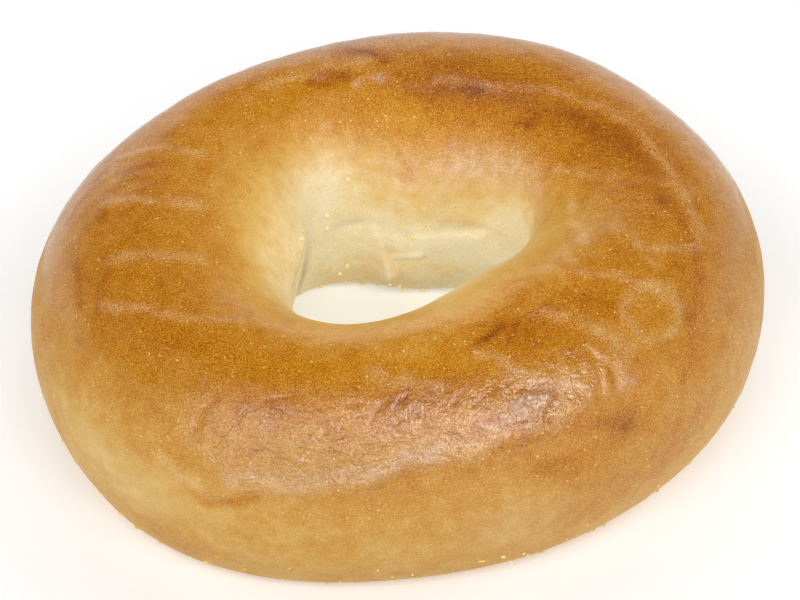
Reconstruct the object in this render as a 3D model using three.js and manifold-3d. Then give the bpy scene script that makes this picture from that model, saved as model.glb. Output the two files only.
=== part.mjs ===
// A plain bagel, boiled and then baked whole: one ring of dough with a crowned top, a flat base and
// an uneven hole, and grains of cornmeal baked into its lower edge.
// Millimetres, +Z up, +X along the length of the oval. The origin is on the table, under the middle.

import * as THREE from 'three';
import { ParametricGeometry } from 'three/addons/geometries/ParametricGeometry.js';
import { mergeVertices } from 'three/addons/utils/BufferGeometryUtils.js';
import Module from 'manifold-3d';

// Driving dimensions
// Seen from above, the outer edge, the edge of the hole and the height of the crown each have a mean
// size with slow waves round the ring: [waves in one turn, height of the wave, turn of its crest].
// Two waves make the oval, and the others are the unevenness of dough closed into a ring by hand.
const OUTER_EDGE = {
  mean: 52.25,
  waves: [
    [1, 1.38, -75.6],
    [2, 5.2, 35.9],
    [3, 1.02, -106.5],
    [4, 0.55, -22.7],
    [5, 0.29, 71.7],
    [6, 0.16, -46.5],
  ],
};
const HOLE_EDGE = {
  mean: 17.12,
  waves: [[1, 0.7, -99.7], [2, 2.13, 69.8], [3, 3.12, 31.2], [4, 1.17, 166.2]],
};
const CROWN = {
  mean: 41.05,
  waves: [[1, 0.08, 147.4], [2, 0.22, -81.5]],
};

// The section of the ring: where it is widest on the outside and in the hole, as shares of its
// height, how far the round dough would reach below the table if the board did not flatten it,
// and how softly it turns from its side into the flat base.
const WIDEST_OUTSIDE = 0.461;
const WIDEST_IN_HOLE = 0.63;
const FLATTENED = 0.184;
const BASE_SOFTNESS = 0.1;

// On the left side of the hole the wall is cut back under its lip. Over the section, the cut deepens
// from START to FULL and has gone by GONE.
const UNDERCUT = { turn: 191, spread: 20, depth: 2.7 };
const UNDERCUT_START = 168;
const UNDERCUT_FULL = 190;
const UNDERCUT_GONE = 275;

// Places on the skin are [turn round the ring, turn round the section], in degrees. Round the ring,
// 0 is +X and 90 is +Y. Round the section, 0 is the outer edge, 90 the crown and 180 the hole.
const SECTION_RADIUS = 20;
const RELIEF_STARTS = 5;

// Folds stand proud of the skin, and creases are cut into it: width across, and height or depth.
const FOLDS = [
  { from: [167, 60], to: [167, 102], width: 1.6, height: 0.2 },
  { from: [181, 68], to: [189, 100], width: 1.6, height: 0.2 },
  { from: [194, 62], to: [207, 100], width: 1.7, height: 0.2 },
  { from: [204, 56], to: [219, 80], width: 1.7, height: 0.2 },
  { from: [219, 80], to: [230, 91], width: 1.7, height: 0.2 },
  { from: [270, 72], to: [281, 56], width: 1.5, height: 0.2 },
  { from: [290, 77], to: [300, 59], width: 1.5, height: 0.2 },
  { from: [308, 83], to: [317, 67], width: 1.5, height: 0.2 },
  { from: [337, 68], to: [346, 88], width: 1.8, height: 0.2 },
  { from: [20, 94], to: [76, 99], width: 2.4, height: 0.2 },
];
const WALL_FOLDS = [
  { from: [44, 189], to: [78, 190], width: 1.8, height: 0.8 },
  { from: [48, 195], to: [43, 205], width: 1.5, height: 0.4 },
  { from: [104, 195], to: [97, 212], width: 1.3, height: 0.6 },
  { from: [95, 213], to: [95, 219], width: 1.9, height: 0.9 },
  { from: [120, 142], to: [121, 168], width: 1.3, height: 0.2 },
  { from: [131, 140], to: [132, 164], width: 1.3, height: 0.2 },
];
const CREASES = [
  { from: [46, 200], to: [80, 201], width: 1.7, height: -0.6 },
  { from: [80, 204], to: [98, 203], width: 1.3, height: -0.4 },
  { from: [104, 192], to: [124, 192], width: 1.3, height: -0.4 },
  { from: [92, 164], to: [97, 147], width: 1.8, height: -0.4 },
  { from: [312, 60], to: [315, 30], width: 1.2, height: -0.25 },
];
// The rim that a burst bubble left on the top, as a ring on the skin.
const BUBBLE_MARK = { centre: [327, 57], radius: 4.4, width: 1.3, height: 0.15 };

// The mesh of the ring: steps round it, rows up its sides and over its crown, and rows under it.
const STEPS_ROUND = 128;
const ROWS_OVER = 35;
const ROWS_UNDER = 3;
const BASE_FROM = 238;
const BASE_TO = 302;

// Cornmeal grains that strayed up on to the skin, as [turn round the ring, turn round the section,
// size across], and how many of the larger ones are spread along the lower outer edge.
const STRAY_GRAINS = [
  [306, 55, 0.8],
  [294, 52, 0.9],
  [299, 50, 0.8],
  [304, 38, 0.8],
  [292, 45, 0.8],
  [292, 34, 0.85],
  [297, 32, 0.85],
  [178, 163, 1.1],
  [134, 196, 0.9],
  [128, 188, 0.9],
  [127, 193, 0.9],
  [116, 212, 1.1],
  [118, 218, 0.9],
  [122, 213, 0.9],
  [80, 193, 0.9],
  [90, 219, 1.0],
  [117, 171, 0.8],
  [125, 227, 1.0],
  [114, 226, 0.9],
  [107, 228, 1.0],
  [87, 227, 1.0],
  [78, 227, 1.0],
];
const EDGE_GRAINS = 26;
const EDGE_SECTION = [-48, -14];
const GRAIN_LARGEST = 1.1;
const GRAIN_SMALLEST = 0.7;
const GRAIN_FLATNESS = 0.72;
const GRAIN_SUNK = 0.38;
const SEED = 27;

const TURN = 2 * Math.PI;
const rad = THREE.MathUtils.degToRad;

function waved(size, theta) {
  const waves = size.waves.map(([count, height, turn]) => height * Math.cos(count * theta - rad(turn)));
  return waves.reduce((sum, wave) => sum + wave, size.mean);
}

// Distance on the skin, in millimetres, from one place to another, as [round the ring, over it].
function across([ring, section], [fromRing, fromSection], radius) {
  const turned = THREE.MathUtils.euclideanModulo(ring - fromRing + 180, 360) - 180;
  return new THREE.Vector3(rad(turned) * radius, rad(section - fromSection) * SECTION_RADIUS, 0);
}

// A fold or crease is highest along its line and dies away on both sides and past its ends.
function fold(place, radius, { from, to, width, height }) {
  const line = new THREE.Line3(new THREE.Vector3(), across(to, from, radius));
  const point = across(place, from, radius);
  const away = line.closestPointToPoint(point, true, new THREE.Vector3()).distanceTo(point);
  return height * Math.exp(-((away / width) ** 2));
}

function bubbleMark(place, radius) {
  const away = across(place, BUBBLE_MARK.centre, radius).length() - BUBBLE_MARK.radius;
  return BUBBLE_MARK.height * Math.exp(-((away / BUBBLE_MARK.width) ** 2));
}

// Slow swells and hollows, a few to the length of a hand's grip on the rope of dough.
function swell(theta, phi) {
  const long = 0.22 * Math.sin(5 * theta + 2 * phi + 0.6) * Math.sin(phi);
  const short = 0.14 * Math.sin(9 * theta - 3 * phi + 2.1) * Math.sin(phi) ** 2;
  return long + short;
}

function relief(theta, phi, radius) {
  const place = [THREE.MathUtils.radToDeg(theta), THREE.MathUtils.radToDeg(phi)];
  const lines = [...FOLDS, ...WALL_FOLDS, ...CREASES].map((line) => fold(place, radius, line));
  return lines.reduce((sum, height) => sum + height, swell(theta, phi) + bubbleMark(place, radius));
}

// The dough sinks on to the board: what would lie below it is flat, with a rounded turn above.
function settle(z, softness) {
  if (z > softness) return z;
  if (z < -softness) return 0;
  return (z + softness) ** 2 / (4 * softness);
}

function undercut(theta, phi) {
  const { radToDeg, euclideanModulo, smoothstep } = THREE.MathUtils;
  const section = radToDeg(phi);
  const over = smoothstep(section, UNDERCUT_START, UNDERCUT_FULL);
  const share = over * (1 - smoothstep(section, BASE_FROM, UNDERCUT_GONE));
  const away = euclideanModulo(radToDeg(theta) - UNDERCUT.turn + 180, 360) - 180;
  return share * UNDERCUT.depth * Math.exp(-((away / UNDERCUT.spread) ** 2));
}

// A point of the skin, at an angle round the ring and an angle round the section, in radians.
function skin(theta, phi, target) {
  const outer = waved(OUTER_EDGE, theta);
  const hole = waved(HOLE_EDGE, theta);
  const crown = waved(CROWN, theta);
  const out = Math.cos(phi);
  const up = Math.sin(phi);
  const halfWidth = (outer - hole) / 2;
  const widest = crown * THREE.MathUtils.lerp(WIDEST_IN_HOLE, WIDEST_OUTSIDE, (1 + out) / 2);
  const halfHeight = up >= 0 ? crown - widest : widest + FLATTENED * crown;
  const radius = (outer + hole) / 2 + halfWidth * out + undercut(theta, phi);
  const height = settle(widest + halfHeight * up, BASE_SOFTNESS * crown);
  const outward = new THREE.Vector2(out / halfWidth, up / halfHeight).normalize();
  const proud = relief(theta, phi, radius) * THREE.MathUtils.smoothstep(height, 0, RELIEF_STARTS);
  const reach = radius + proud * outward.x;
  return target.set(reach * Math.cos(theta), reach * Math.sin(theta), height + proud * outward.y);
}

// Rows lie closer together where the skin shows than under the flat base.
function sectionAngle(share) {
  const over = ROWS_OVER / (ROWS_OVER + ROWS_UNDER);
  const start = BASE_TO - 360;
  if (share <= over) return rad(THREE.MathUtils.mapLinear(share, 0, over, start, BASE_FROM));
  if (share < 1) return rad(THREE.MathUtils.mapLinear(share, over, 1, BASE_FROM, BASE_TO));
  return rad(start);
}

const wasm = await Module();
wasm.setup();

function solidFrom(geometry) {
  geometry.deleteAttribute('normal');
  geometry.deleteAttribute('uv');
  const merged = mergeVertices(geometry);
  const vertProperties = new Float32Array(merged.attributes.position.array);
  const triVerts = new Uint32Array(merged.index.array);
  return new wasm.Manifold(new wasm.Mesh({ numProp: 3, vertProperties, triVerts }));
}

function geometryFrom(solid) {
  const mesh = solid.getMesh();
  const geometry = new THREE.BufferGeometry();
  geometry.setAttribute('position', new THREE.BufferAttribute(mesh.vertProperties, mesh.numProp));
  geometry.setIndex(new THREE.BufferAttribute(mesh.triVerts, 1));
  geometry.computeVertexNormals();
  return geometry;
}

function ringOfDough() {
  const place = (u, v, target) => skin((u % 1) * TURN, sectionAngle(v), target);
  return solidFrom(new ParametricGeometry(place, STEPS_ROUND, ROWS_OVER + ROWS_UNDER));
}

// The lower edge is shared out evenly to its grains, and each lies somewhere in its own share.
function cornmealPlaces() {
  const strays = STRAY_GRAINS.map(([ring, section, size]) => {
    return { theta: rad(ring), phi: rad(section), size };
  });
  const edge = Array.from({ length: EDGE_GRAINS }, (_, index) => {
    const theta = (TURN * (index + random(0.15, 0.85))) / EDGE_GRAINS;
    const size = random(GRAIN_LARGEST, GRAIN_SMALLEST);
    const phi = rad(random(...EDGE_SECTION));
    return { theta, phi, size };
  });
  return [...strays, ...edge];
}

function random(low, high) {
  return THREE.MathUtils.lerp(low, high, THREE.MathUtils.seededRandom());
}

function outwardAt(theta, phi) {
  const step = 0.01;
  const here = skin(theta, phi, new THREE.Vector3());
  const round = skin(theta + step, phi, new THREE.Vector3()).sub(here);
  const over = skin(theta, phi + step, new THREE.Vector3()).sub(here);
  return round.cross(over).normalize();
}

// Where the faceted ring lies below a point, looking straight down on to the skin.
function onFacets(ring, point, outward) {
  const above = point.clone().addScaledVector(outward, 3);
  return new THREE.Raycaster(above, outward.clone().negate()).intersectObject(ring)[0].point;
}

// A broken grain of maize: a rough lump, flatter on the side that it lies on, sunk into the skin.
function grain({ theta, phi, size }, ring) {
  const geometry = new THREE.IcosahedronGeometry(size / 2, 0);
  geometry.rotateX(random(0, TURN));
  geometry.scale(1, random(0.75, 0.95), GRAIN_FLATNESS);
  const outward = outwardAt(theta, phi);
  const turned = new THREE.Quaternion().setFromUnitVectors(new THREE.Vector3(0, 0, 1), outward);
  const spun = new THREE.Quaternion().setFromAxisAngle(outward, random(0, TURN));
  geometry.applyQuaternion(spun.multiply(turned));
  const lift = (size / 2) * GRAIN_FLATNESS - GRAIN_SUNK * size;
  const foot = onFacets(ring, skin(theta, phi, new THREE.Vector3()), outward);
  const centre = foot.addScaledVector(outward, lift);
  geometry.translate(centre.x, centre.y, centre.z);
  return solidFrom(geometry);
}

function bagel() {
  THREE.MathUtils.seededRandom(SEED);
  const places = cornmealPlaces().sort((one, other) => other.size - one.size);
  const dough = ringOfDough();
  const ring = new THREE.Mesh(geometryFrom(dough));
  const whole = places.reduce((solid, place) => solid.add(grain(place, ring)), dough);
  const crust = new THREE.MeshStandardMaterial({ color: 0xc08238, roughness: 0.45, metalness: 0 });
  const mesh = new THREE.Mesh(geometryFrom(whole), crust);
  mesh.name = 'bagel';
  return mesh;
}

export default new THREE.Group().add(bagel());
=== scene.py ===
# One plain bagel, boiled and baked whole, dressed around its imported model: first the crust of the
# ring, then the cornmeal baked on to it, then the table, the light and the camera.

import math

import bmesh
import bpy
import numpy as np
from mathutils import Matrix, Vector, noise


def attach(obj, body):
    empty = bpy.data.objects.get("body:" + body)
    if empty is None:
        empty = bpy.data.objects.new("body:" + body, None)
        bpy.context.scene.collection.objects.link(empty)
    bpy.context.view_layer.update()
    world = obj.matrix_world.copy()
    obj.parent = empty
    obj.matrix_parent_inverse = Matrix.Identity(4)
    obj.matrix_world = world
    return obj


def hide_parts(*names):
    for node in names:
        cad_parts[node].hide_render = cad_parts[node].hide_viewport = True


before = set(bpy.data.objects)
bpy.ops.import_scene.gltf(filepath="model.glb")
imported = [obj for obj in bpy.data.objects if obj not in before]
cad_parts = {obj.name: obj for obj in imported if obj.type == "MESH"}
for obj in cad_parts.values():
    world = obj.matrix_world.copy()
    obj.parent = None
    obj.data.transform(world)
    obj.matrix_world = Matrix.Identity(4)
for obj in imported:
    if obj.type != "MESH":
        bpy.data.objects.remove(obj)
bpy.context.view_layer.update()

# The ring of dough. A rope of wheat dough was rolled by hand, closed into a ring, boiled, laid on a
# floured board and baked. It is one piece with a crowned top, a flat base and an uneven hole, and its
# skin keeps the folds, creases and burst bubbles of the boiling. Sizes are in millimetres.
MM = 0.001

# Seen from above: a mean size and slow waves round the ring (waves in a turn, height, turn of crest).
OUTER_EDGE = (52.25, [(1, 1.38, -75.6), (2, 5.2, 35.9), (3, 1.02, -106.5),
                      (4, 0.55, -22.7), (5, 0.29, 71.7), (6, 0.16, -46.5)])
HOLE_EDGE = (17.12, [(1, 0.7, -99.7), (2, 2.13, 69.8), (3, 3.12, 31.2), (4, 1.17, 166.2)])
CROWN = (41.05, [(1, 0.08, 147.4), (2, 0.22, -81.5)])
WIDEST_OUTSIDE = 0.461
WIDEST_IN_HOLE = 0.63
FLATTENED = 0.184
BASE_SOFTNESS = 0.1
UNDERCUT_TURN = 191
UNDERCUT_SPREAD = 20
UNDERCUT_DEPTH = 2.7
UNDERCUT_START = 168
UNDERCUT_FULL = 190
UNDERCUT_FADES = 238
UNDERCUT_GONE = 275
SECTION_RADIUS = 20
RELIEF_STARTS = 5

# Steps of the fine skin: half a millimetre round the crown, and bands of rows over it, each from one
# turn of the section to another in so many rows. They lie closest where the small relief is, in the
# crinkled shine and at the ledge in the hole.
STEPS_ROUND = 560
ROWS = [(-58, 12, 20), (12, 68, 50), (68, 186, 52), (186, 214, 32), (214, 238, 8), (238, 302, 6)]


def waved(size, theta):
    mean, waves = size
    return mean + sum(height * np.cos(count * theta - math.radians(turn)) for count, height, turn in waves)


def settle(z, softness):
    """The dough sinks on to the board: what would lie below it is flat, with a rounded turn above."""
    turned = (z + softness) ** 2 / (4 * softness)
    return np.where(z > softness, z, np.where(z < -softness, 0, turned))


def smoothstep(value, low, high):
    share = np.clip((value - low) / (high - low), 0, 1)
    return share**2 * (3 - 2 * share)


def undercut(theta, phi):
    """On the left side of the hole the wall is cut back under its lip, by this many millimetres."""
    over = np.degrees(phi)
    starts = smoothstep(over, UNDERCUT_START, UNDERCUT_FULL)
    share = starts * (1 - smoothstep(over, UNDERCUT_FADES, UNDERCUT_GONE))
    away = (np.degrees(theta) - UNDERCUT_TURN + 180) % 360 - 180
    return share * UNDERCUT_DEPTH * np.exp(-((away / UNDERCUT_SPREAD) ** 2))


def skin_grid():
    """Angles round the ring and round its section, in radians, of every point of the fine skin."""
    ring = np.arange(STEPS_ROUND) / STEPS_ROUND * 2 * math.pi
    over = [np.linspace(start, end, count, endpoint=False) for start, end, count in ROWS]
    return np.meshgrid(ring, np.radians(np.concatenate(over)))


def smooth_skin(theta, phi):
    """The bare form of the ring: distance from the middle, height, and the outward direction."""
    outer = waved(OUTER_EDGE, theta)
    hole = waved(HOLE_EDGE, theta)
    crown = waved(CROWN, theta)
    out = np.cos(phi)
    up = np.sin(phi)
    half_width = (outer - hole) / 2
    widest = crown * (WIDEST_IN_HOLE + (WIDEST_OUTSIDE - WIDEST_IN_HOLE) * (1 + out) / 2)
    half_height = np.where(up >= 0, crown - widest, widest + FLATTENED * crown)
    radius = (outer + hole) / 2 + half_width * out + undercut(theta, phi)
    height = settle(widest + half_height * up, BASE_SOFTNESS * crown)
    outward = np.stack([out / half_width, up / half_height])
    return radius, height, outward / np.linalg.norm(outward, axis=0)


theta, phi = skin_grid()
section = np.degrees(phi)
radius, height, outward = smooth_skin(theta, phi)
smooth_points = np.stack([radius * np.cos(theta), radius * np.sin(theta), height], axis=-1)


def drift(size, seed):
    """Smooth unevenness of the dough, from -1 to 1, with lumps as wide as the size in millimetres."""
    shift = Vector((seed * 31.7, seed * 17.3, seed * 11.9))
    places = (smooth_points.reshape(-1, 3) / size).tolist()
    return np.array([noise.noise(Vector(place) + shift) for place in places]).reshape(theta.shape)


# Hand-made dough has no straight line, so every fold and patch wanders by this much, though less on
# the tight wall of the hole.
WANDER = 1.2
WANDER_LOST = 0.75
WALL_STARTS = (165, 185)
WALL_ENDS = (230, 240)
LONG_WANDER = 7
SHORT_WANDER = 3
tight = 1 - WANDER_LOST * smoothstep(section, *WALL_STARTS) * (1 - smoothstep(section, *WALL_ENDS))


def wander(seed):
    return WANDER * tight * (drift(LONG_WANDER, seed) + 0.5 * drift(SHORT_WANDER, seed + 1))


wander_round = wander(1)
wander_over = wander(3)


def from_place(ring, over_section):
    """Millimetres on the skin from a place, given in degrees, to every point: round it, and over it."""
    turned = np.radians((np.degrees(theta) - ring + 180) % 360 - 180)
    over = np.radians(section - over_section) * SECTION_RADIUS
    return turned * radius + wander_round, over + wander_over


def near_line(start, end, width):
    """One along a line on the skin, dying away to nothing on both sides and past its ends."""
    along, over = from_place(*start)
    end_along = np.radians((end[0] - start[0] + 180) % 360 - 180) * radius
    end_over = math.radians(end[1] - start[1]) * SECTION_RADIUS
    share = np.clip((along * end_along + over * end_over) / (end_along**2 + end_over**2 + 1e-9), 0, 1)
    away = np.hypot(along - share * end_along, over - share * end_over)
    return np.exp(-((away / width) ** 2))


def near_path(places, width):
    """One along a line through these places."""
    return np.max([near_line(*ends, width) for ends in zip(places, places[1:])], axis=0)


def near_spot(ring, over_section, long, wide, turn=0):
    """One in the middle of an oval patch of the skin, dying away outwards."""
    along, over = from_place(ring, over_section)
    tilt = math.radians(turn)
    first = along * math.cos(tilt) + over * math.sin(tilt)
    second = over * math.cos(tilt) - along * math.sin(tilt)
    return np.exp(-((first / long) ** 2) - (second / wide) ** 2)


def shelf(from_ring, to_ring, over_section, rise, fall):
    """A step out of the skin along a line round the ring, which runs back into it further down."""
    over = np.radians(section - over_section) * SECTION_RADIUS + wander_over
    ring = np.degrees(theta)
    starts = smoothstep(ring, from_ring - 8, from_ring + 4)
    along = starts * (1 - smoothstep(ring, to_ring - 4, to_ring + 12))
    return along * np.exp(-((over / np.where(over < 0, rise, fall)) ** 2))


def step(value):
    return 1 / (1 + np.exp(-value))


# Low folds that stand proud of the skin: the places that each runs through, and its width.
FOLDS = [
    ([(166, 62), (166, 100)], 1.2),
    ([(182, 65), (186, 101)], 1.2),
    ([(197, 67), (205, 104)], 1.2),
    ([(206, 56), (219, 80), (230, 98)], 1.2),
    ([(265, 73), (278, 60)], 1.2),
    ([(289, 75), (293, 70), (297, 63), (300, 53)], 1.1),
    ([(308, 84), (314, 73), (317, 63), (320, 50)], 1.3),
    ([(76, 106), (57, 106), (40, 101), (22, 90), (3, 81), (358, 71), (348, 58)], 1.1),
    ([(23, 137), (12, 121), (7, 109)], 0.9),
    ([(8, 132), (352, 123), (337, 101)], 0.9),
    ([(346, 98), (340, 81), (338, 73)], 1.1),
    ([(326, 92), (330, 83), (331, 73), (334, 50)], 0.9),
    ([(342, 76), (347, 61)], 1),
    ([(131, 94), (117, 100), (112, 93), (100, 94)], 1.2),
]
FOLD_HEIGHT = 0.14
# Where the shine of the near lobe ends on its flank. Most of this border is a low ridge.
SHINE_BORDER = [
    (222, 44), (230, 38), (233, 31), (238, 23), (243, 17), (256, 19), (263, 20), (269, 25), (278, 28),
    (285, 31), (293, 33), (300, 33), (308, 38),
]
RIDGE_FROM = 3
RIDGE_WIDTH = 1.5
RIDGE_HEIGHT = 0.2
# Folds on the wall of the hole, and creases there and below the shine: start, end, width and height.
WALL_FOLDS = [
    ((48, 195), (43, 205), 1.1, 0.5),
    ((103, 197), (97, 212), 0.8, 0.45),
    ((96, 213), (95, 219), 1.5, 1.1),
    ((94, 204), (75, 201), 0.5, 0.5),
    ((120, 142), (121, 168), 1.0, 0.2),
    ((131, 140), (132, 164), 1.0, 0.2),
]
CREASES = [
    ((80, 204), (98, 203), 1.0, -0.4),
    ((108, 190), (124, 193.5), 0.6, -0.25),
    ((96, 163), (92, 151), 0.8, -0.5),
    ((92, 164), (84, 160), 0.8, -0.35),
    ((162, 168), (200, 176), 1.0, -0.35),
    ((312, 60), (315, 30), 0.8, -0.12),
    ((46, 190), (78, 187), 0.6, -0.35),
    ((50, 212), (40, 206), 0.6, -0.4),
    ((293, 52), (303, 46), 0.8, -0.2),
    ((303, 46), (301, 35), 0.8, -0.2),
    ((312, 58), (310, 26), 0.6, -0.13),
]
# The ledge in the wall of the hole: from and to round the ring, its place, and its rise and fall.
LEDGE = (46, 72, 192, 0.4, 3)
LEDGE_HEIGHT = 0.8
# The ring that a burst bubble left.
BUBBLE_MARK = (329, 58)
BUBBLE_RADIUS = 4.4
BUBBLE_WIDTH = 1.1
BUBBLE_HEIGHT = 0.12
BUBBLE_PALE_WIDTH = 0.8


def bubble_mark(width):
    along, over = from_place(*BUBBLE_MARK)
    return np.exp(-(((np.hypot(along, over) - BUBBLE_RADIUS) / width) ** 2))


# Short wrinkles in the shine of the lobe that lay nearest the oven's steam, where the skin shrank.
WRINKLES = 150
WRINKLED_ROUND = (228, 308)
WRINKLED_OVER = (18, 60)
WRINKLE_LENGTH = (0.5, 3)
WRINKLE_WIDTH = (0.35, 0.7)
WRINKLE_TURN = (0.2, 0.9)
WRINKLE_STRENGTH = (0.3, 1)
WRINKLE_DEPTH = 0.14
NEAR_LOBE_REACH = 48
chance = np.random.default_rng(11)
wrinkles = np.zeros_like(theta)
for _ in range(WRINKLES):
    ring = chance.uniform(*WRINKLED_ROUND)
    over_section = chance.uniform(*WRINKLED_OVER)
    long = chance.uniform(*WRINKLE_LENGTH)
    turn = chance.normal(*WRINKLE_TURN)
    end_ring = ring + math.degrees(long * math.cos(turn) / NEAR_LOBE_REACH)
    end_over = over_section + math.degrees(long * math.sin(turn) / SECTION_RADIUS)
    line = near_line((ring, over_section), (end_ring, end_over), chance.uniform(*WRINKLE_WIDTH))
    wrinkles = wrinkles + chance.uniform(*WRINKLE_STRENGTH) * line

# Pale marks where the skin dried on its folds, and a net of them on the lobe at the right.
NET_THINNESS = 0.06
NET_STRENGTH = 0.04
PALE_WIDTH = 0.85
net_place = near_spot(352, 84, 26, 15) + 0.5 * near_spot(300, 66, 22, 7)
net_lines = np.exp(-((drift(5.5, 12) + 0.35 * drift(2.5, 13)) / NET_THINNESS) ** 2)
dried = sum(near_path(places, PALE_WIDTH * width) for places, width in FOLDS)
dried = dried + bubble_mark(BUBBLE_PALE_WIDTH)
dried = dried * (0.75 + 0.8 * drift(2.2, 14)) + NET_STRENGTH * net_lines * np.clip(net_place, 0, 1)

# The relief of all of these, with two slow waves over the crown and small lumps: size, seed, height.
LONG_WAVE = 0.22
SHORT_WAVE = 0.14
LUMPS = [(5, 5, 0.1), (2.2, 6, 0.07)]
relief = sum(FOLD_HEIGHT * near_path(places, width) for places, width in FOLDS)
relief = relief + sum(tall * near_line(*ends, width) for *ends, width, tall in WALL_FOLDS + CREASES)
relief = relief + BUBBLE_HEIGHT * bubble_mark(BUBBLE_WIDTH) - WRINKLE_DEPTH * wrinkles
relief = relief + RIDGE_HEIGHT * near_path(SHINE_BORDER[RIDGE_FROM:], RIDGE_WIDTH)
relief = relief + LEDGE_HEIGHT * shelf(*LEDGE)
relief = relief + LONG_WAVE * np.sin(5 * theta + 2 * phi + 0.6) * np.sin(phi)
relief = relief + SHORT_WAVE * np.sin(9 * theta - 3 * phi + 2.1) * np.sin(phi) ** 2
for size, seed, tall in LUMPS:
    relief = relief + tall * drift(size, seed)
relief = relief * smoothstep(height, 0, RELIEF_STARTS)

# The underside follows the board, with shallow dents between the grains that it was baked on.
BASE_CLEARANCE = 0.15
WIDE_DENTS = 0.12
SMALL_DENTS = 0.08
UNDERSIDE_REACH = 2
underside = np.clip(1 - height / UNDERSIDE_REACH, 0, 1)
lift = underside * (BASE_CLEARANCE + WIDE_DENTS * (1 + drift(4, 7)) + SMALL_DENTS * (1 + drift(1.6, 8)))

reach = radius + relief * outward[0]
raised = height + relief * outward[1] + lift
points = np.stack([reach * np.cos(theta), reach * np.sin(theta), raised], axis=-1)


def ring_mesh(name, points):
    """Closes a grid of points, rows over the section and columns round the ring, into one skin."""
    rows, columns = points.shape[:2]
    row, column = np.meshgrid(np.arange(rows), np.arange(columns), indexing="ij")
    next_row = (row + 1) % rows
    next_column = (column + 1) % columns
    corners = [(row, column), (row, next_column), (next_row, next_column), (next_row, column)]
    faces = np.stack([r * columns + c for r, c in corners], axis=-1).reshape(-1, 4)
    mesh = bpy.data.meshes.new(name)
    mesh.from_pydata((points.reshape(-1, 3) * MM).tolist(), [], faces.tolist())
    mesh.shade_smooth()
    piece = bpy.data.objects.new(name, mesh)
    bpy.context.scene.collection.objects.link(piece)
    return piece


crust = ring_mesh("crust", points)

# How far each part of the skin is baked, from 0, the cream of boiled dough, to 1, the brown crown.
# The crown browned most, the flank less, and the wall of the hole, which little heat reached, hardly.
WALL_BAKE = 0.08
FLANK_BAKE = 0.42
CROWN_BAKE = (0.76, [(1, 0.028, 35), (2, 0.034, 68)])
BROWN_TO_HOLE = (141.2, [(1, 17.9, 65), (2, 5, 104), (3, 2.5, -7)])
BROWN_TO_FLANK = (26.2, [(1, 14.1, 65), (2, 19.1, 77)])
HOLE_SOFTNESS = (15.9, [(1, 1.8, 8)])
FLANK_SOFTNESS = 16.6
EDGE_DRIFT = 4

brown_in_hole = waved(BROWN_TO_HOLE, theta) + EDGE_DRIFT * drift(9, 9)
to_hole = step((brown_in_hole - section) / waved(HOLE_SOFTNESS, theta))
to_flank = step((section - waved(BROWN_TO_FLANK, theta) - EDGE_DRIFT * drift(9, 10)) / FLANK_SOFTNESS)
bake = WALL_BAKE + to_hole * (FLANK_BAKE + (waved(CROWN_BAKE, theta) - FLANK_BAKE) * to_flank)

# Places that baked darker or paler: a place, a length and width in millimetres, a turn and how much.
PATCHES = [
    (297, 82, 3.4, 5.9, 58, 0.13),
    (62, 197, 10.6, 2.1, -13, -0.2),
    (103, 220, 14, 3.6, -3, 0.12),
    (23, 104, 10.5, 2.7, 26, 0.14),
    (217, 7, 12.3, 5.7, -6, -0.1),
    (101, 84, 5.8, 2.3, -23, 0.14),
    (254, 105, 14, 5.9, 12, -0.07),
    (128, 182, 2, 5, -26, -0.1),
    (319, 80, 4.5, 2.6, -41, 0.12),
    (46, 173, 6.7, 3.5, 60, 0.09),
    (311, 23, 7.6, 2.1, -29, 0.1),
    (184, 183, 14, 2.1, -53, 0.1),
    (358, 129, 12.1, 3.7, 30, -0.07),
    (87, 159, 2.7, 1.4, 83, 0.16),
    (86, 132, 11, 4.8, -29, -0.06),
    (115, 104, 4.5, 2, 17, 0.13),
    (320, -7, 14, 3.7, 13, 0.09),
    (282, 9, 10.9, 5.4, -34, -0.06),
    (220, 64, 14, 2.8, 24, 0.07),
    (325, 53, 14, 5.2, 22, -0.06),
    (312, 22, 2.5, 1.5, -20, 0.08),
    (300, 14, 4, 2.2, 0, 0.12),
    (241, 8, 4.5, 1, 8, 0.14),
    (271, 55, 7, 3, 0, 0.1),
    (303, 76, 5, 2.6, 25, 0.1),
    (111, 131, 7, 5, 0, 0.05),
    (27, 127, 7, 5, 0, 0.04),
    (3, 114, 8, 7, 0, 0.03),
    (80, 114, 9, 2.4, -12, 0.04),
    (200, 85, 18, 9, 0, 0.03),
    (74, 96, 6, 1.8, 0, 0.06),
    (88, 62, 26, 6, 0, -0.03),
    (27, 185, 5, 6, 0, -0.06),
    (132, 188, 4, 6, 0, -0.05),
    (258, 37, 15, 5, 0, -0.05),
    (256, 4, 14, 5, 0, 0.02),
    (66, 110, 12, 3, 0, 0.14),
    (231, -24, 7, 3, 0, 0.1),
    (237, 5, 8, 3.5, 0, -0.12),
    (224, 0, 8, 5, 0, -0.06),
    (292, -7, 9, 4, 0, -0.08),
    (344, 135, 6, 5, 0, -0.1),
    (27, 180, 5, 5, 0, -0.12),
    (134, 168, 5, 5, 0, -0.08),
    (70, 100, 12, 2.5, 0, 0.05),
    (199, 26, 9, 6, 0, 0.04),
    (296, 84, 3.6, 0.8, 28, 0.2),
    (291, 80, 3, 0.7, 18, 0.16),
    (299, 79, 2.6, 0.6, 32, 0.14),
    (245, 34, 1.1, 0.5, 20, 0.2),
    (254, 41, 1.2, 0.4, 40, 0.18),
    (260, 43, 1, 0.5, 30, 0.16),
    (260, 36, 1.2, 0.4, 0, 0.24),
    (267, 38, 1.4, 0.3, 15, 0.18),
    (249, 52, 3.4, 1.5, 0, 0.12),
    (269, 60, 2, 1.2, 30, 0.14),
]
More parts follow.
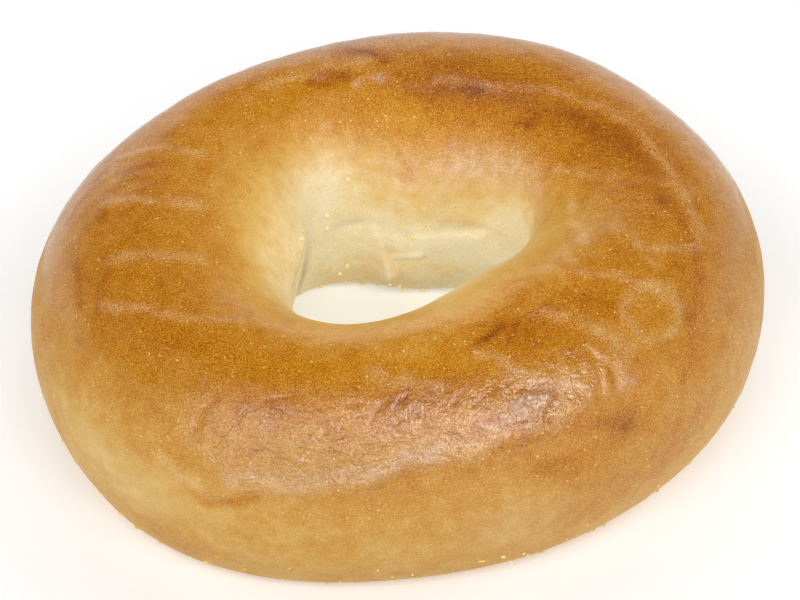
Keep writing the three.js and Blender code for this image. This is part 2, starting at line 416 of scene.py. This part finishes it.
# Darker lines, as places, a width and how much: inside the fold that runs round the right lobe,
# below the shine, across the lobes, and four faint scratches on the flank at the right.
DARK_LINES = [
    ([(37, 110), (23, 98), (9, 92), (358, 83)], 1.5, 0.06),
    ([(358, 84), (354, 73), (349, 63), (342, 54), (336, 45), (331, 35), (327, 24)], 1.3, 0.09),
    ([(235, 7), (238, 5), (242, 9), (247, 15)], 0.9, 0.13),
    ([(192, 50), (197, 48), (202, 47)], 1, 0.14),
    ([(178, 66), (186, 63)], 0.9, 0.12),
    ([(200, 64), (203, 58), (206, 52)], 0.9, 0.12),
    ([(180, 44), (176, 49), (171, 55)], 1, 0.12),
    ([(173, 71), (171, 78)], 1.1, 0.12),
    ([(120, 105), (113, 97), (107, 102)], 1, 0.14),
    ([(105, 75), (100, 86), (94, 94)], 0.9, 0.14),
    ([(65, 109), (62, 110)], 1, 0.18),
    ([(44, 123), (42, 122)], 0.8, 0.18),
    ([(308, 107), (316, 106)], 0.7, 0.1),
    ([(306, 98), (316, 97)], 0.7, 0.12),
    ([(300, 94), (309, 94)], 0.7, 0.12),
    ([(323, 110), (328, 106)], 0.7, 0.1),
    ([(290, 92), (298, 90)], 0.7, 0.12),
    ([(302, 84), (312, 86)], 0.7, 0.12),
    ([(313, -13), (323, -3), (329, 5)], 0.45, 0.06),
    ([(317, -14), (327, -3), (333, 5)], 0.45, 0.06),
    ([(321, -14), (331, -3), (337, 6)], 0.45, 0.06),
    ([(311, -9), (318, 0), (324, 10)], 0.45, 0.05),
]
WRINKLES_DARKER = 0.05
FOLDS_PALER = 0.1
COARSE_UNEVENNESS = 0.03
FINE_UNEVENNESS = 0.04
bake = bake + sum(much * near_spot(*place) for *place, much in PATCHES) + WRINKLES_DARKER * wrinkles
bake = bake + sum(much * near_path(places, width) for places, width, much in DARK_LINES)
bake = bake - FOLDS_PALER * np.clip(dried, 0, 1)
bake = bake + COARSE_UNEVENNESS * drift(3.2, 15) + FINE_UNEVENNESS * drift(1.5, 16)

# The boiled skin is glossy where it browned, with a wavy lower border, and duller on flank and wall.
GLOSS_LOWER_EDGE = [(0, 36), (60, 30), (120, 26), (180, 24), *SHINE_BORDER, (330, 38), (360, 36)]
GLOSS_ENDS_ABOVE = 118
LOWER_SOFTNESS = 1.4
UPPER_SOFTNESS = 5
WALL_DULLNESS = 0.5
gloss_turns, gloss_sections = zip(*GLOSS_LOWER_EDGE)
gloss_edge = np.interp(np.degrees(theta), gloss_turns, gloss_sections) + EDGE_DRIFT * drift(5, 11)
glossy = step((section - gloss_edge) / LOWER_SOFTNESS) * step((GLOSS_ENDS_ABOVE - section) / UPPER_SOFTNESS)
glaze = glossy - WALL_DULLNESS * step((section - GLOSS_ENDS_ABOVE) / UPPER_SOFTNESS)

# Painted sheen and highlights, with a little whitish starch bloom: near-white added to the colour where the
# shoulder of the hole, the ledge and the crack in it, the border of the near lobe's shine, the flanks and a
# rim catch the light. Painted shade, where the colour is made greyer: low in the hole, in the crease at its
# left, under the ledge, along the low flank and the rims, and under the shine of the near lobe. The rows are
# those of the patches above, and the lines are places, a width and how much.
PAINTED_SHEEN_AND_BLOOM = [
    (58, 163, 15, 4.5, 0, 0.13),
    (36, 152, 6, 4, 0, 0.07),
    (128, 156, 8, 5, 0, 0.11),
    (66, 110, 12, 2, 0, 0.03),
    (316, 38, 1.5, 1.1, 0, 0.12),
    (296, 43, 3.4, 1.7, 8, 0.15),
    (292, -7, 11, 5, 0, 0.05),
    (316, -11, 8, 8, 0, 0.03),
    (347, 12, 9, 9, 0, 0.06),
    (224, 0, 8, 6, 0, 0.035),
    (110, 84, 15, 5, 0, 0.03),
    (50, 152, 14, 5, 0, 0.09),
    (242, 49, 5, 3, 0, 0.05),
    (98, 105, 1.5, 0.8, 0, 0.16),
    (122, 134, 0.7, 0.7, 0, 0.18),
    (104, 108, 0.7, 0.7, 0, 0.2),
    (329, 8, 8, 6, 0, 0.03),
]
PAINTED_SHEEN_AND_BLOOM_LINES = [
    ([(242, 20), (248, 21), (256, 23), (262, 26), (268, 29), (276, 32)], 1.5, 0.1),
    ([(276, 32), (290, 38), (300, 44), (306, 50)], 1.7, 0.05),
    ([(230, 20), (234, 14), (238, 10), (242, 12)], 0.6, 0.07),
    ([(50, 193), (70, 192)], 0.5, 0.2),
    ([(47, 195), (60, 194)], 0.8, 0.06),
    ([(94, 205), (84, 203), (75, 200)], 0.35, 0.4),
    ([(98, 208), (95, 218)], 0.9, 0.14),
    ([(50, 210), (46, 207)], 0.4, 0.16),
    ([(104, 194), (97, 212)], 0.6, 0.1),
    ([(140, 153), (139, 167)], 0.9, 0.08),
    ([(134, 166), (134, 175)], 0.5, 0.08),
]
# Painted shade: how much greyer the colour is made where shade falls.
PAINTED_SHADE = [
    (258, 38, 24, 7, 0, 0.12),
    (297, 44, 8, 5, 0, 0.15),
    (88, 224, 20, 3.5, 0, 0.16),
    (258, -36, 40, 5, 0, 0.14),
    (272, 54, 7, 3.5, 0, 0.12),
    (139, 210, 0.9, 5, 0, 0.3),
    (0, 38, 20, 7, 0, 0.06),
    (88, 62, 30, 6, 0, 0.05),
    (88, 216, 20, 7, 0, 0.06),
    (116, 192, 3.4, 0.45, 14, 0.2),
    (60, 190, 6, 0.4, 0, 0.2),
    (313, 21, 3, 2.4, 0, 0.2),
    (280, -8, 45, 7, 0, 0.05),
]
# Painted sheen and highlights, with a little real bloom: the share of near-white that goes into the colour.
painted_sheen_and_bloom = sum(much * near_spot(*place) for *place, much in PAINTED_SHEEN_AND_BLOOM)
painted_sheen_and_bloom = painted_sheen_and_bloom + sum(much * near_path(places, width) for places, width, much in PAINTED_SHEEN_AND_BLOOM_LINES)
PAINTED_SHEEN_UNEVENNESS = 0.9
painted_sheen_and_bloom = painted_sheen_and_bloom * (1 + PAINTED_SHEEN_UNEVENNESS * drift(1.6, 17))
# Painted shade, summed from the spots above.
painted_shade = sum(much * near_spot(*place) for *place, much in PAINTED_SHADE)
crinkled = np.clip(near_spot(258, 36, 26, 9) + near_spot(298, 48, 9, 7) + near_spot(50, 152, 14, 5), 0, 1)


def keep_on_skin(name, values):
    layer = crust.data.attributes.new(name, "FLOAT", "POINT")
    layer.data.foreach_set("value", values.astype(np.float32).ravel())


keep_on_skin("bake", bake)
keep_on_skin("glaze", glaze)
keep_on_skin("dried", np.clip(dried, 0, 1))
keep_on_skin("painted_sheen_and_bloom", painted_sheen_and_bloom)
keep_on_skin("painted_shade", painted_shade)
keep_on_skin("crinkled", crinkled)


def linear(sheet_colour):
    """A colour as the shader wants it, from sRGB hex."""
    parts = [int(sheet_colour[place:place + 2], 16) / 255 for place in (1, 3, 5)]
    return [part / 12.92 if part <= 0.04045 else ((part + 0.055) / 1.055) ** 2.4 for part in parts] + [1]


def add_node(tree, kind, inputs=None, **settings):
    """Adds a node with its settings, and for each input a value or the socket that feeds it."""
    node = tree.nodes.new(kind)
    for name, value in settings.items():
        setattr(node, name, value)
    for name, value in (inputs or {}).items():
        if isinstance(value, bpy.types.NodeSocket):
            tree.links.new(value, node.inputs[name])
        else:
            node.inputs[name].default_value = value
    return node


def per_millimetre(size):
    """Texture scale, in waves or cells to the metre, for marks of a real size in millimetres."""
    return 1 / (size * MM)


# Boiled and baked crust: satin. The starch skin went from cream through gold to brown, and its pinhead
# blisters give the crown a fine pale speckle.
BAKED_COLOURS = [
    (0.0, "#F8EED0"),
    (0.13, "#F3E5BC"),
    (0.24, "#EDD49A"),
    (0.42, "#E0B665"),
    (0.6, "#D2993E"),
    (0.78, "#C27E15"),
    (0.92, "#B36A07"),
    (1.15, "#874404"),
]
BAKE_RANGE = 1.25
# The near-white of the dried film on the folds, and of the painted sheen and highlights.
FILM_AND_SHEEN_WHITE = "#FFF3EA"
BRAN = "#8F5F2C"
# The real speckle is finer than the picture can show, so it is drawn a quarter of a millimetre wide.
SPECKLE_MM = 0.24
CRINKLE_MM = 1.3
MOTTLE_MM = 2.4
CLOUD_MM = 9
BLISTER_MM = 1.4
BLISTER_RADIUS_MM = 0.24
BRAN_MM = 2.4
BRAN_RADIUS_MM = 0.16
BLISTERS_PALER = 0.38
DULL_ROUGHNESS = 0.5
GLOSSY_ROUGHNESS = 0.22
SPECKLE_BUMP = 0.3
MOTTLE_BUMP = 0.5
BLISTER_BUMP = 0.6
CRINKLE_BUMP = 1.9
BUMP_MM = 0.06
EYE_GAMMA = 2.2

crust_material = bpy.data.materials.new("boiled_and_baked_crust")
crust_material.use_nodes = True
tree = crust_material.node_tree
tree.nodes.clear()
place = add_node(tree, "ShaderNodeTexCoord").outputs["Object"]
bake_kept, glaze_kept, dried_kept, painted_sheen_and_bloom_kept, painted_shade_kept, crinkled_kept = [
    add_node(tree, "ShaderNodeAttribute", attribute_name=name).outputs["Fac"]
    for name in ("bake", "glaze", "dried", "painted_sheen_and_bloom", "painted_shade", "crinkled")
]


def grained(size, detail, distortion):
    """Soft noise with lumps of a size in millimetres."""
    inputs = {
        "Vector": place,
        "Scale": per_millimetre(size),
        "Detail": detail,
        "Distortion": distortion,
    }
    return add_node(tree, "ShaderNodeTexNoise", inputs)


speckle = grained(SPECKLE_MM, 2, 0)
mottle = grained(MOTTLE_MM, 3, 0)
cloud = grained(CLOUD_MM, 2, 0)
crinkle = grained(CRINKLE_MM, 3, 1.2)


def ranged(value, low, high, to_low, to_high):
    """The value carried over from one range to another, and kept within it."""
    spans = {"Value": value, "From Min": low, "From Max": high, "To Min": to_low, "To Max": to_high}
    return add_node(tree, "ShaderNodeMapRange", spans).outputs["Result"]


def signed(texture, amount):
    """Noise as a push up or down of at most about the amount."""
    return ranged(texture.outputs["Fac"], 0.25, 0.75, -amount, amount)


def plus(first, second):
    return add_node(tree, "ShaderNodeMath", {0: first, 1: second}, operation="ADD").outputs[0]


def times(first, second):
    return add_node(tree, "ShaderNodeMath", {0: first, 1: second}, operation="MULTIPLY").outputs[0]


def spots(apart, spot_radius, share):
    """One inside round spots, sown this far apart, of which only a share is there."""
    cells = add_node(tree, "ShaderNodeTexVoronoi", {"Vector": place, "Scale": per_millimetre(apart)})
    inside = ranged(cells.outputs["Distance"], spot_radius / apart, 0.4 * spot_radius / apart, 0, 1)
    drawn = add_node(tree, "ShaderNodeSeparateColor", {"Color": cells.outputs["Color"]}).outputs[0]
    return times(inside, ranged(drawn, 1 - share, 1 - share + 0.02, 0, 1))


blisters = spots(BLISTER_MM, BLISTER_RADIUS_MM, 0.6)
browned = ranged(bake_kept, 0.45, 0.7, 0, 1)
fine = times(signed(speckle, 0.08), plus(bake_kept, 0.1))
unevenness = plus(plus(signed(cloud, 0.05), signed(mottle, 0.06)), fine)
blistered = plus(plus(bake_kept, unevenness), times(times(blisters, browned), -BLISTERS_PALER))
baked = ranged(blistered, 0, BAKE_RANGE, 0, 1)
colours = add_node(tree, "ShaderNodeValToRGB", {"Fac": baked})
stops = colours.color_ramp.elements
while len(stops) < len(BAKED_COLOURS):
    stops.new(0.5)
for stop, (share, colour) in zip(stops, BAKED_COLOURS):
    stop.position = share / BAKE_RANGE
    stop.color = linear(colour)


def blended(share, colour, other):
    inputs = {0: share, 6: colour, 7: other}
    return add_node(tree, "ShaderNodeMix", inputs, data_type="RGBA").outputs[2]


# Painted sheen: pale crinkles painted into the colour where the near lobe and the shoulder of the hole shine.
painted_crinkle_sheen = times(crinkled_kept, ranged(signed(crinkle, 1), 0, 0.9, 0, 0.1))
dried_film = times(dried_kept, ranged(signed(speckle, 1), -1, 1, 0.02, 0.12))
# The near-white laid over the colour: the dried film on the folds is the skin's own; the crinkles and the
# rest are painted sheen and highlights.
film_and_painted_sheen = plus(plus(dried_film, painted_crinkle_sheen), painted_sheen_and_bloom_kept)
with_film_and_painted_sheen = blended(film_and_painted_sheen, colours.outputs["Color"], linear(FILM_AND_SHEEN_WHITE))
specks = times(spots(BRAN_MM, BRAN_RADIUS_MM, 0.5), ranged(bake_kept, 0.3, 0.5, 0.8, 0))
flecked = blended(specks, with_film_and_painted_sheen, linear(BRAN))
# Painted shade: the colour is made darker by the shaded share.
free_of_painted_shade = plus(1, times(painted_shade_kept, -1))
with_painted_shade = add_node(tree, "ShaderNodeHueSaturation", {"Value": free_of_painted_shade, "Color": flecked})
grain = times(signed(speckle, 0.18), ranged(bake_kept, 0.45, 0.85, 0.35, 1.15))
# The grain is added to the colour as the eye takes it, so it shows alike on pale and on dark crust.
as_seen = {"Color": with_painted_shade.outputs["Color"], "Gamma": 1 / EYE_GAMMA}
seen_colour = add_node(tree, "ShaderNodeGamma", as_seen)
with_grain = {0: seen_colour.outputs["Color"], 1: grain}
grained_colour = add_node(tree, "ShaderNodeVectorMath", with_grain, operation="ADD")
speckled = add_node(tree, "ShaderNodeGamma", {"Color": grained_colour.outputs[0], "Gamma": EYE_GAMMA})
uneven_glaze = plus(glaze_kept, signed(mottle, 0.12))
roughness = ranged(uneven_glaze, 0, 1, DULL_ROUGHNESS, GLOSSY_ROUGHNESS)
crinkles = times(signed(crinkle, CRINKLE_BUMP), crinkled_kept)
grains = plus(signed(speckle, SPECKLE_BUMP), signed(mottle, MOTTLE_BUMP))
bumps = plus(grains, plus(times(blisters, BLISTER_BUMP), crinkles))
bump = add_node(tree, "ShaderNodeBump", {"Height": bumps, "Strength": 0.8, "Distance": BUMP_MM * MM})
crust_shader = add_node(
    tree, "ShaderNodeBsdfPrincipled",
    {
        "Base Color": speckled.outputs["Color"],
        "Roughness": roughness,
        "IOR": 1.45,
        "Specular IOR Level": ranged(glaze_kept, -1, 1, 0.02, 0.5),
        "Normal": bump.outputs["Normal"],
    },
)
add_node(tree, "ShaderNodeOutputMaterial", {"Surface": crust_shader.outputs["BSDF"]})
crust.data.materials.append(crust_material)
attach(crust, "root")
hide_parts("bagel")

# Cornmeal: broken yellow grains of dried maize, half to one millimetre across. The board was strewn
# with them, so they are baked into the underside and the lower edge, and a few strayed further up.
GRAINS_SEEN = [
    (306, 55, 0.6), (294, 52, 0.7), (299, 50, 0.65), (304, 38, 0.6), (292, 45, 0.6), (292, 34, 0.7),
    (297, 32, 0.65), (166, 171, 1.0), (178, 163, 1.15), (134, 196, 0.9), (128, 188, 0.95), (127, 193, 0.9),
    (116, 212, 1.2), (118, 218, 1.0), (122, 213, 1.0), (80, 193, 0.9), (95, 217, 0.8), (90, 219, 1.0),
    (117, 171, 0.8), (192, 186, 0.9), (125, 227, 1.0), (114, 226, 0.9), (107, 228, 1.0), (87, 227, 1.0),
    (78, 227, 1.0),
]
ON_CROWN = 7
# Strewn grains by where they lie: how many, and the span of the section that they keep to.
EDGE_GRAINS = 150
EDGE_SPAN = (-50, 34)
WALL_GRAINS = 26
WALL_SPAN = (205, 32)
UNDER_GRAINS = 420
UNDER_SPAN = (236, 306)
CLEAR_OF_TABLE = 0.02
GRAIN_FLATNESS = 0.72
GRAIN_SUNK = 0.3

skin_round = np.roll(points, -1, axis=1) - np.roll(points, 1, axis=1)
skin_over = np.roll(points, -1, axis=0) - np.roll(points, 1, axis=0)
skin_normals = np.cross(skin_round, skin_over)
skin_normals = skin_normals / np.linalg.norm(skin_normals, axis=-1, keepdims=True)
skin_rows = section[:, 0]


def on_skin(ring, over_section):
    """The point of the fine skin nearest to a place given in degrees, and its outward direction."""
    column = round(ring / 360 * STEPS_ROUND) % STEPS_ROUND
    row = int(np.abs((skin_rows - over_section + 180) % 360 - 180).argmin())
    return points[row, column], skin_normals[row, column]


maize = np.random.default_rng(27)
grain_places = list(GRAINS_SEEN)
for index in range(EDGE_GRAINS):
    ring = 360 * (index + maize.uniform(0, 1)) / EDGE_GRAINS
    over_section = EDGE_SPAN[0] + EDGE_SPAN[1] * maize.beta(1.1, 2.2)
    grain_places.append((ring, over_section, maize.uniform(0.4, 1.0)))
for index in range(WALL_GRAINS):
    ring = 360 * (index + maize.uniform(0, 1)) / WALL_GRAINS
    over_section = WALL_SPAN[0] + WALL_SPAN[1] * maize.beta(2.2, 1.1)
    grain_places.append((ring, over_section, maize.uniform(0.4, 0.85)))
for index in range(UNDER_GRAINS):
    ring = 360 * (index + maize.uniform(0, 1)) / UNDER_GRAINS
    grain_places.append((ring, maize.uniform(*UNDER_SPAN), maize.uniform(0.45, 1.05)))

lump = bmesh.new()
bmesh.ops.create_icosphere(lump, subdivisions=2, radius=0.5)
lump_points = np.array([vertex.co[:] for vertex in lump.verts])
lump_faces = np.array([[vertex.index for vertex in face.verts] for face in lump.faces])
lump.free()


def grain_points(ring, over_section, size):
    """A broken grain: a rough lump, flatter on the side that it lies on, sunk into the skin."""
    middle, up = on_skin(ring, over_section)
    side = np.cross(up, maize.normal(size=3))
    side = side / np.linalg.norm(side)
    frame_of_grain = np.stack([side, np.cross(up, side), up])
    shape = lump_points * maize.uniform(0.8, 1.12, (len(lump_points), 1))
    shape = shape * size * [1, maize.uniform(0.65, 0.95), GRAIN_FLATNESS]
    placed = shape @ frame_of_grain + middle + up * size * (GRAIN_FLATNESS / 2 - GRAIN_SUNK)
    placed[:, 2] += max(0, CLEAR_OF_TABLE - placed[:, 2].min())
    return placed


all_points = np.concatenate([grain_points(*grain) for grain in grain_places])
all_faces = np.concatenate([lump_faces + index * len(lump_points) for index in range(len(grain_places))])
grain_mesh = bpy.data.meshes.new("cornmeal")
grain_mesh.from_pydata((all_points * MM).tolist(), [], all_faces.tolist())
ripeness = maize.uniform(0, 1, len(grain_places))
ripeness[:len(GRAINS_SEEN)] *= 0.6
ripeness[:ON_CROWN] = 1
tints = np.repeat(ripeness, len(lump_points))
tint = grain_mesh.attributes.new("tint", "FLOAT", "POINT")
tint.data.foreach_set("value", tints.astype(np.float32))
cornmeal = bpy.data.objects.new("cornmeal", grain_mesh)
bpy.context.scene.collection.objects.link(cornmeal)

# Dry maize, glassy yellow inside and a little floury outside, some of it toasted to amber.
MAIZE_COLOURS = [(0.0, "#F8EDB4"), (0.55, "#F3DC7A"), (1.0, "#E3A81E")]
maize_material = bpy.data.materials.new("toasted_cornmeal")
maize_material.use_nodes = True
maize_tree = maize_material.node_tree
maize_tree.nodes.clear()
grain_tint = add_node(maize_tree, "ShaderNodeAttribute", attribute_name="tint").outputs["Fac"]
grain_colours = add_node(maize_tree, "ShaderNodeValToRGB", {"Fac": grain_tint})
grain_stops = grain_colours.color_ramp.elements
grain_stops.new(0.5)
for stop, (share, colour) in zip(grain_stops, MAIZE_COLOURS):
    stop.position = share
    stop.color = linear(colour)
maize_shader = add_node(
    maize_tree, "ShaderNodeBsdfPrincipled",
    {
        "Base Color": grain_colours.outputs["Color"],
        "Roughness": 0.5,
        "IOR": 1.5,
    },
)
add_node(maize_tree, "ShaderNodeOutputMaterial", {"Surface": maize_shader.outputs["BSDF"]})
grain_mesh.materials.append(maize_material)
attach(cornmeal, "root")

# The table: a plain sheet of matt white board, lit well enough to look white.
TABLE_SIZE = 4
TABLE_COLOUR = "#F1F3F5"
TABLE_GLOW = 0.22
bpy.ops.mesh.primitive_plane_add(size=TABLE_SIZE)
table = bpy.context.object
table.name = "table"
table_material = bpy.data.materials.new("matt_white_board")
table_material.use_nodes = True
table_shader = table_material.node_tree.nodes["Principled BSDF"]
table_shader.inputs["Base Color"].default_value = linear(TABLE_COLOUR)
table_shader.inputs["Roughness"].default_value = 0.9
table_shader.inputs["Emission Color"].default_value = (1, 1, 1, 1)
table_shader.inputs["Emission Strength"].default_value = TABLE_GLOW
table.data.materials.append(table_material)

# The light: a softbox above the camera, dimmer ones at the sides and the back, and a dim room. The
# window and the strips only show as shine on the crust, so that its crown keeps its full colour.
ROOM_LIGHT = 0.04
world = bpy.data.worlds.new("dim_room")
world.use_nodes = True
world.node_tree.nodes["Background"].inputs["Color"].default_value = (1, 1, 1, 1)
world.node_tree.nodes["Background"].inputs["Strength"].default_value = ROOM_LIGHT
bpy.context.scene.world = world

BAGEL_MIDDLE = Vector((0, 0, 0.018))


def toward(azimuth, elevation, distance):
    """A point seen from the middle of the bagel: azimuth 0 is in front, and positive is to the right."""
    turn = math.radians(azimuth)
    rise = math.radians(elevation)
    level = distance * math.cos(rise)
    return BAGEL_MIDDLE + Vector((level * math.sin(turn), -level * math.cos(turn), distance * math.sin(rise)))


def softbox(name, direction, size, watts, shine):
    """A flat light that faces the bagel from this azimuth, elevation and distance."""
    lamp = bpy.data.lights.new(name, "AREA")
    lamp.shape = "RECTANGLE"
    lamp.size, lamp.size_y = size
    lamp.energy = watts
    holder = bpy.data.objects.new(name, lamp)
    holder.location = toward(*direction)
    holder.rotation_euler = (BAGEL_MIDDLE - holder.location).to_track_quat("-Z", "Y").to_euler()
    holder.visible_camera = False
    holder.visible_diffuse = not shine
    holder.visible_glossy = shine
    bpy.context.scene.collection.objects.link(holder)


softbox("key_softbox", (-4, 51, 0.8), (1.1, 0.45), 5.25, False)
softbox("right_softbox", (100, 36, 0.8), (0.5, 0.4), 1.6, False)
softbox("left_softbox", (-102, 32, 0.8), (0.5, 0.4), 1.4, False)
softbox("back_softbox", (170, 52, 0.8), (0.8, 0.5), 1.9, False)
softbox("window", (0, 18, 0.8), (1.5, 0.5), 12, True)
softbox("upper_window", (-38, 48, 0.8), (0.4, 0.3), 0.4, True)
softbox("right_pane", (38, 24, 0.8), (0.35, 0.35), 5.4, True)
softbox("right_strip", (115, 4, 0.8), (1.0, 0.25), 0.8, True)
softbox("left_strip", (-120, 4, 0.8), (1.0, 0.25), 0.35, True)
softbox("back_strip", (180, 12, 0.8), (1.1, 0.35), 1.7, True)


def spotlight(name, direction, lit_place, cone, watts):
    """A lamp with a soft cone, aimed past the near lobe at a place in millimetres in the hole."""
    lamp = bpy.data.lights.new(name, "SPOT")
    lamp.energy = watts
    lamp.spot_size = math.radians(cone)
    lamp.spot_blend = 1
    lamp.shadow_soft_size = 0.02
    holder = bpy.data.objects.new(name, lamp)
    holder.location = toward(*direction)
    aim = Vector(lit_place) * MM
    holder.rotation_euler = (aim - holder.location).to_track_quat("-Z", "Y").to_euler()
    holder.visible_glossy = False
    bpy.context.scene.collection.objects.link(holder)


spotlight("far_wall_lamp", (-4, 56, 0.8), (2, 8, 19), 3.6, 3)
spotlight("left_wall_lamp", (38, 54, 0.8), (-15, 9, 17), 2.7, 8)
spotlight("right_wall_lamp", (-50, 54, 0.8), (15, 6, 18), 2.7, 5)

# The camera: a long lens, 45 degrees above the table. It is aimed just off the middle, as the bagel
# doesn't lie in the exact middle of the picture.
CAMERA_ELEVATION = 45
CAMERA_DISTANCE = 0.6
AIM_RIGHT = 0.157 * MM
AIM_DOWN = 0.486 * MM
LENS = 172.1

camera = bpy.data.objects.new("camera", bpy.data.cameras.new("camera"))
camera.data.lens = LENS
camera.data.sensor_width = 36
rise = math.radians(CAMERA_ELEVATION)
aim_off = Vector((AIM_RIGHT, -AIM_DOWN * math.sin(rise), -AIM_DOWN * math.cos(rise)))
camera.location = toward(0, CAMERA_ELEVATION, CAMERA_DISTANCE) + aim_off
camera.rotation_euler = (math.radians(90 - CAMERA_ELEVATION), 0, 0)
bpy.context.scene.collection.objects.link(camera)
bpy.context.scene.camera = camera
bpy.context.scene.view_settings.view_transform = "Standard"
